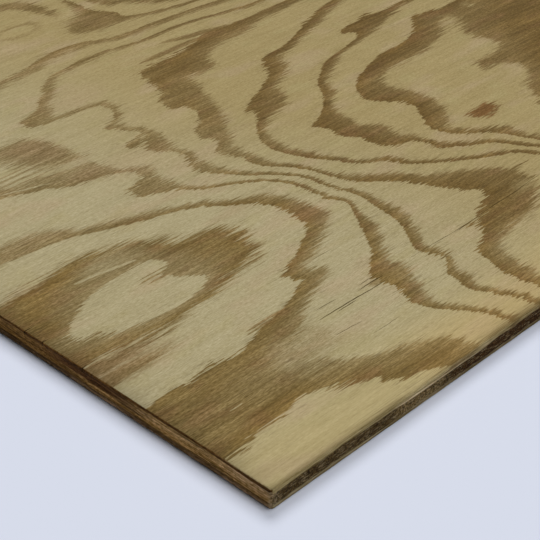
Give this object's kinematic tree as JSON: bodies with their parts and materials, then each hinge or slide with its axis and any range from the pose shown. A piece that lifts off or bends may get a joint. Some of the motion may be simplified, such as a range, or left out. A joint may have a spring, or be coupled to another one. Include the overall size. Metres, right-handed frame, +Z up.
{
  "type": "plywood sheet",
  "caption": "Softwood plywood sheet lying flat, its face and back veneers crossed by a thicker core, with eased long edges and softened corners.",
  "frame": {"origin": "middle of the sheet's underside, on the floor", "axes": "+X along the sheet's length and its face grain, +Y across its width, +Z up, out of the face veneer"},
  "size_m": [2.44, 1.22, 0.009],
  "materials": {
    "face_veneer": "sanded, unfinished",
    "core_veneer": "sawn edge",
    "back_veneer": "rough, unfinished"
  },
  "bodies": {
    "root": {"face_ply": "face_veneer", "core_ply": "core_veneer", "back_ply": "back_veneer"}
  },
  "joints": []
}
